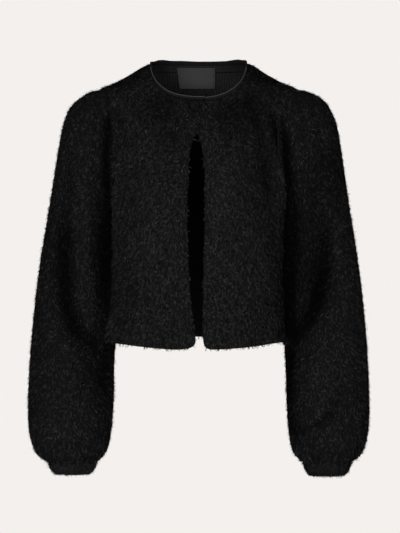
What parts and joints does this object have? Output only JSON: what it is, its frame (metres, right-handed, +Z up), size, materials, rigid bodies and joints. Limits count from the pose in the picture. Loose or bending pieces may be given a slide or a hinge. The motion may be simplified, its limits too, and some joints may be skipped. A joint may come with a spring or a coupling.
{
  "type": "fluffy knit cardigan",
  "caption": "Cropped open-front cardigan in brushed knit, filled out as worn, with a round neck, a covered neck button and balloon sleeves gathered into narrow cuffs.",
  "frame": {"origin": "middle of the neck, level with the middle of the shoulder seams, where a wearer's shoulders hold the garment up", "axes": "+Z up, the front towards -Y, the wearer's left towards +X"},
  "size_m": [0.5906, 0.2481, 0.707],
  "materials": {
    "knit": "black brushed knit with a long soft pile",
    "cuff": "black ribbed knit, lightly brushed",
    "trim": "smooth black knitted binding",
    "label": "bare black woven satin label",
    "button": "button covered in the same black knit"
  },
  "bodies": {
    "root": {"back": "knit", "front_right": "knit", "front_left": "knit", "sleeve_right": "knit", "sleeve_left": "knit", "cuff_right": "cuff", "cuff_left": "cuff", "neckband": "trim", "label": "label", "button": "button"}
  },
  "joints": []
}
